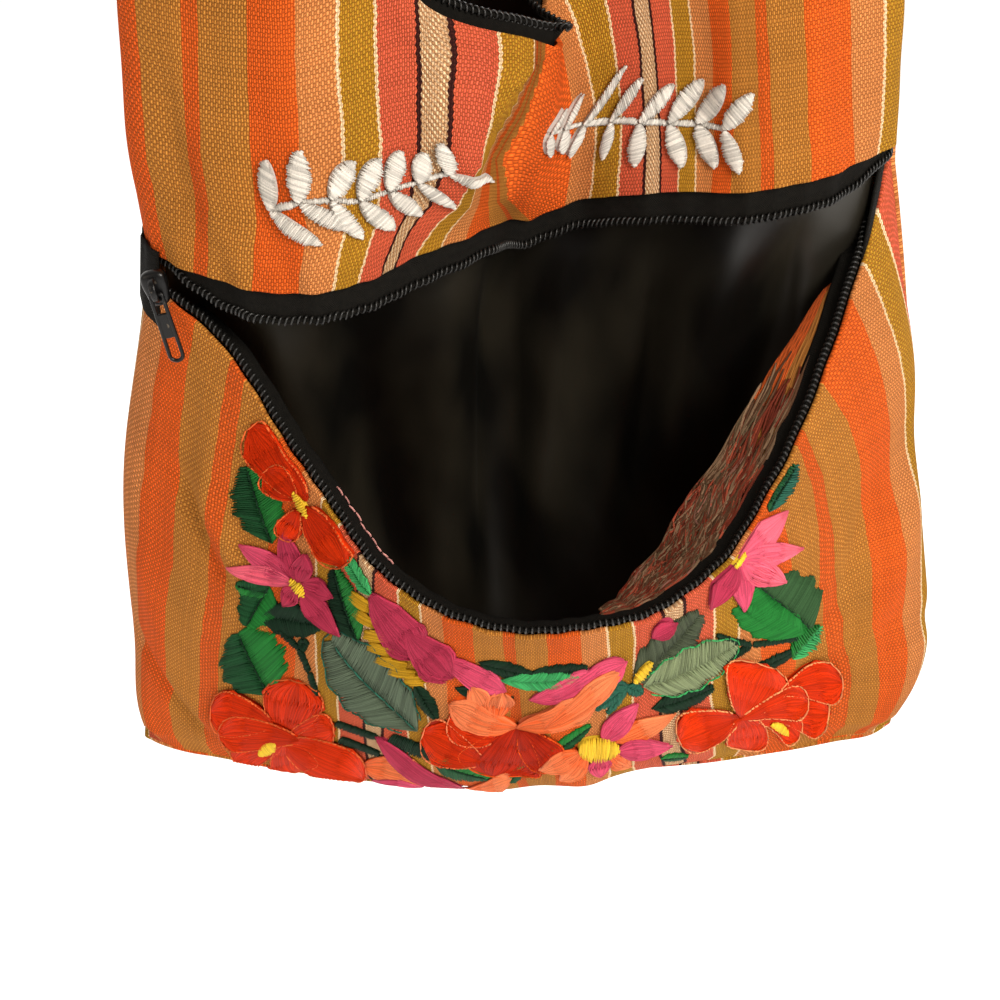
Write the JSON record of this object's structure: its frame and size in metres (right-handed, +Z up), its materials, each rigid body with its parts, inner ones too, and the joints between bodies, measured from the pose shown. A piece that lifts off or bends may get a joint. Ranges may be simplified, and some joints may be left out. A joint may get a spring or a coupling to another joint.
{
  "type": "hobo bag",
  "caption": "Soft striped cotton hobo bag on a looped shoulder strap, with an open zip mouth and a gaping embroidered front zip pocket lined in black.",
  "frame": {"origin": "underside of the strap at the top of its loop, the point the bag hangs from", "axes": "+Z up, the pocket faces -Y, +X to the viewer's right seen from the front"},
  "size_m": [0.2724, 0.1548, 0.7182],
  "materials": {
    "striped_cloth": "matt woven",
    "black_lining": "satin",
    "zip_tape": "matt woven",
    "zip_coil": "satin",
    "black_enamel": "gloss"
  },
  "bodies": {
    "bag": {"pocket_panel": "striped_cloth", "upper_front_panel": "striped_cloth", "back_panel": "striped_cloth", "pocket_lining": "black_lining", "back_lining": "black_lining", "pocket_zip_upper_tape": "zip_tape", "pocket_zip_lower_tape": "zip_tape", "mouth_zip_front_tape": "zip_tape", "mouth_zip_back_tape": "zip_tape", "pocket_zip_upper_coil": "zip_coil", "pocket_zip_lower_coil": "zip_coil", "mouth_zip_front_coil": "zip_coil", "mouth_zip_back_coil": "zip_coil", "pocket_zip_slider": "black_enamel", "mouth_zip_slider": "black_enamel", "strap": "striped_cloth"},
    "zip_pull": {"pocket_zip_pull": "black_enamel"}
  },
  "joints": [
    {"name": "zip_pull_swing", "type": "hinge", "parent": "bag", "child": "zip_pull", "pos_m": [-0.10577, -0.07325, -0.49897], "axis": [-0.9744, 0, -0.225], "range_deg": [0, 140]}
  ]
}
